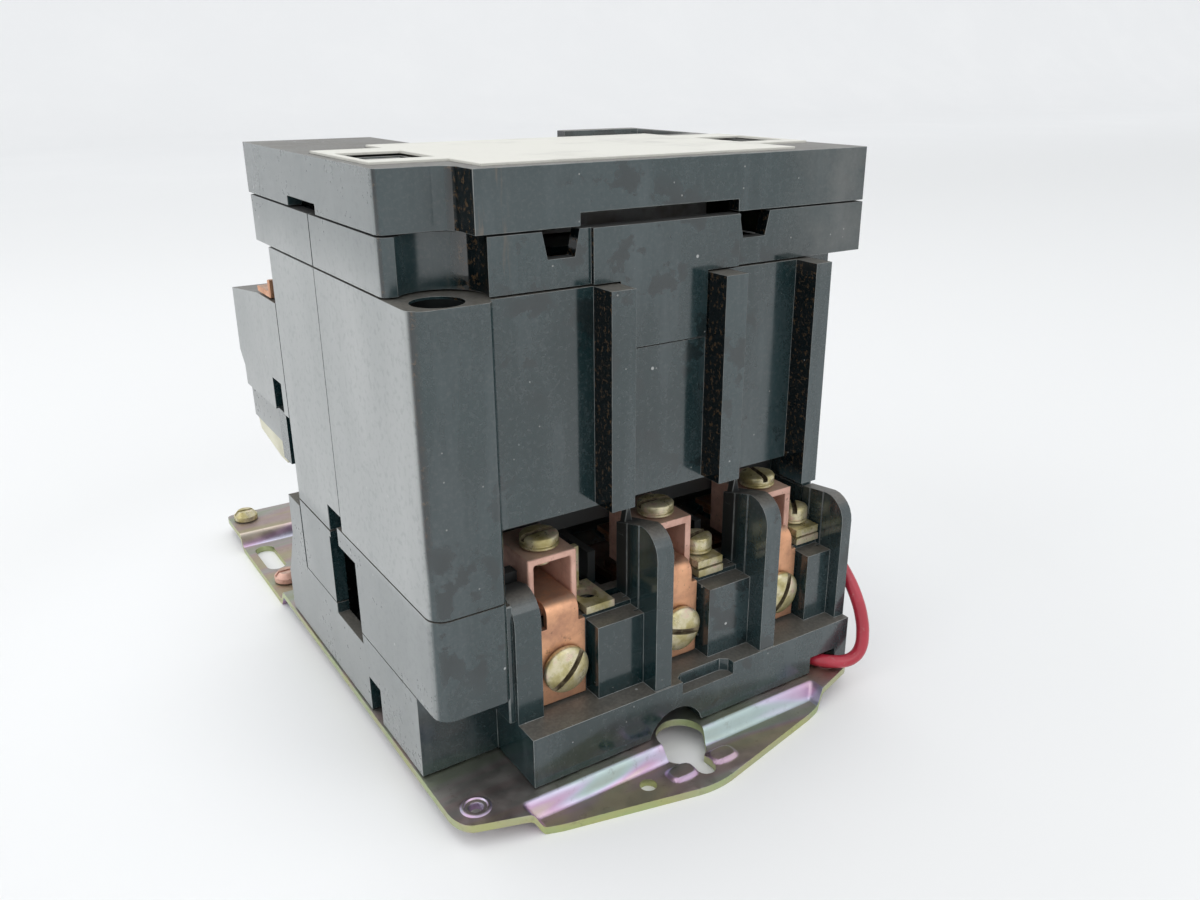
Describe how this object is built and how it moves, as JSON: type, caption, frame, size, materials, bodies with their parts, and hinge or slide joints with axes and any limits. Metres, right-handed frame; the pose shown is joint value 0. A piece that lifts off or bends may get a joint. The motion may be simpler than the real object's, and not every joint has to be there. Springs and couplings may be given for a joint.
{
  "type": "panel contactor",
  "caption": "Dark three-pole panel contactor on a stepped plated steel base plate, with copper box lugs, barrier fins and a red coil lead.",
  "frame": {"origin": "centre of the bounding box at its foot, where the base plate meets the panel", "axes": "+Z out of the panel, -Y toward the load terminals and the keyhole, +X to the right along the load terminals"},
  "size_m": [0.0944, 0.1614, 0.1096],
  "materials": {
    "dark_plastic": "dusty moulded plastic",
    "insulating_plastic": "moulded insulating plastic",
    "cream_plastic": "natural nylon",
    "label_paper": "printed label, left blank",
    "plated_steel": "yellow zinc plated sheet",
    "core_steel": "ground lamination stack",
    "zinc_steel": "yellow zinc plated",
    "copper": "bare copper",
    "lug_copper": "dull pinkish copper",
    "spring_steel": "drawn wire",
    "winding": "enamelled copper wire",
    "red_insulation": "glossy insulation"
  },
  "bodies": {
    "housing": {"base_housing": "dark_plastic", "contact_frame": "dark_plastic", "mid_housing_front": "dark_plastic", "mid_housing_rear": "dark_plastic", "upper_housing": "dark_plastic", "top_cover": "dark_plastic", "aux_block": "dark_plastic", "coil_bobbin": "insulating_plastic", "magnet_seat": "insulating_plastic", "aux_foot": "cream_plastic", "label_plate": "label_paper", "mounting_plate": "plated_steel", "magnet_core": "core_steel", "tap_plate_1": "zinc_steel", "tap_plate_2": "zinc_steel", "tap_plate_3": "zinc_steel", "saddle_clamp_2": "zinc_steel", "saddle_clamp_3": "zinc_steel", "corner_screw": "zinc_steel", "strip_screw_left": "zinc_steel", "strip_screw_right": "zinc_steel", "load_strap_1": "copper", "load_strap_2": "copper", "load_strap_3": "copper", "line_strap_1": "copper", "line_strap_2": "copper", "line_strap_3": "copper", "aux_terminal": "copper", "load_lug_1": "lug_copper", "load_lug_2": "lug_copper", "load_lug_3": "lug_copper", "line_lug_1": "lug_copper", "line_lug_2": "lug_copper", "line_lug_3": "lug_copper", "earth_screw": "lug_copper", "return_spring_left": "spring_steel", "return_spring_right": "spring_steel", "coil_winding": "winding", "coil_lead": "red_insulation"},
    "carrier": {"contact_carrier": "insulating_plastic", "armature": "core_steel", "armature_pin": "zinc_steel", "contact_spring_1": "spring_steel", "contact_spring_2": "spring_steel", "contact_spring_3": "spring_steel"},
    "bridge_1": {"contact_bridge_1": "copper"},
    "bridge_2": {"contact_bridge_2": "copper"},
    "bridge_3": {"contact_bridge_3": "copper"},
    "plunger": {"aux_plunger": "insulating_plastic"},
    "load_wire_screw_1": {"load_lug_screw_1": "zinc_steel"},
    "load_wire_screw_2": {"load_lug_screw_2": "zinc_steel"},
    "load_wire_screw_3": {"load_lug_screw_3": "zinc_steel"},
    "line_wire_screw_1": {"line_lug_screw_1": "zinc_steel"},
    "line_wire_screw_2": {"line_lug_screw_2": "zinc_steel"},
    "line_wire_screw_3": {"line_lug_screw_3": "zinc_steel"},
    "strap_screw_1": {"load_strap_screw_1": "zinc_steel"},
    "strap_screw_2": {"load_strap_screw_2": "zinc_steel"},
    "strap_screw_3": {"load_strap_screw_3": "zinc_steel"},
    "tap_screw_2": {"saddle_screw_2": "zinc_steel"},
    "tap_screw_3": {"saddle_screw_3": "zinc_steel"}
  },
  "joints": [
    {"name": "carrier_slide", "type": "slide", "parent": "housing", "child": "carrier", "axis": [0, 0, 1], "range_m": [0, 0.006], "stiffness_N_per_m": 800, "springref_m": -0.006, "deforming": ["return_spring_left", "return_spring_right"]},
    {"name": "bridge_1_overtravel", "type": "slide", "parent": "carrier", "child": "bridge_1", "axis": [0, 0, 1], "range_m": [-0.002, 0], "deforming": ["contact_spring_1"]},
    {"name": "bridge_2_overtravel", "type": "slide", "parent": "carrier", "child": "bridge_2", "axis": [0, 0, 1], "range_m": [-0.002, 0], "deforming": ["contact_spring_2"]},
    {"name": "bridge_3_overtravel", "type": "slide", "parent": "carrier", "child": "bridge_3", "axis": [0, 0, 1], "range_m": [-0.002, 0], "deforming": ["contact_spring_3"]},
    {"name": "aux_plunger_slide", "type": "slide", "parent": "housing", "child": "plunger", "axis": [0, 0, 1], "range_m": [0, 0.006]},
    {"name": "load_wire_screw_1_turn", "type": "hinge", "parent": "housing", "child": "load_wire_screw_1", "pos_m": [-0.02156, -0.0528, 0.0432], "axis": [0, 0, 1], "range_deg": [-360, 0]},
    {"name": "load_wire_screw_2_turn", "type": "hinge", "parent": "housing", "child": "load_wire_screw_2", "pos_m": [0.00369, -0.0528, 0.0432], "axis": [0, 0, 1], "range_deg": [-360, 0]},
    {"name": "load_wire_screw_3_turn", "type": "hinge", "parent": "housing", "child": "load_wire_screw_3", "pos_m": [0.02894, -0.0528, 0.0432], "axis": [0, 0, 1], "range_deg": [-360, 0]},
    {"name": "line_wire_screw_1_turn", "type": "hinge", "parent": "housing", "child": "line_wire_screw_1", "pos_m": [-0.02156, 0.0046, 0.0432], "axis": [0, 0, 1], "range_deg": [-360, 0]},
    {"name": "line_wire_screw_2_turn", "type": "hinge", "parent": "housing", "child": "line_wire_screw_2", "pos_m": [0.00369, 0.0046, 0.0432], "axis": [0, 0, 1], "range_deg": [-360, 0]},
    {"name": "line_wire_screw_3_turn", "type": "hinge", "parent": "housing", "child": "line_wire_screw_3", "pos_m": [0.02894, 0.0046, 0.0432], "axis": [0, 0, 1], "range_deg": [-360, 0]},
    {"name": "strap_screw_1_turn", "type": "hinge", "parent": "housing", "child": "strap_screw_1", "pos_m": [-0.02156, -0.0609, 0.022], "axis": [0, -1, 0], "range_deg": [-360, 0]},
    {"name": "strap_screw_2_turn", "type": "hinge", "parent": "housing", "child": "strap_screw_2", "pos_m": [0.00369, -0.0609, 0.022], "axis": [0, -1, 0], "range_deg": [-360, 0]},
    {"name": "strap_screw_3_turn", "type": "hinge", "parent": "housing", "child": "strap_screw_3", "pos_m": [0.02894, -0.0609, 0.022], "axis": [0, -1, 0], "range_deg": [-360, 0]},
    {"name": "tap_screw_2_turn", "type": "hinge", "parent": "housing", "child": "tap_screw_2", "pos_m": [0.012, -0.0553, 0.0341], "axis": [0, 0, 1], "range_deg": [-360, 0]},
    {"name": "tap_screw_3_turn", "type": "hinge", "parent": "housing", "child": "tap_screw_3", "pos_m": [0.03725, -0.0553, 0.0341], "axis": [0, 0, 1], "range_deg": [-360, 0]}
  ],
  "couplings": [
    {"joint": "bridge_1_overtravel", "follows": "carrier_slide", "ratio": -0.3333},
    {"joint": "bridge_2_overtravel", "follows": "carrier_slide", "ratio": -0.3333},
    {"joint": "bridge_3_overtravel", "follows": "carrier_slide", "ratio": -0.3333},
    {"joint": "aux_plunger_slide", "follows": "carrier_slide", "ratio": 1}
  ]
}
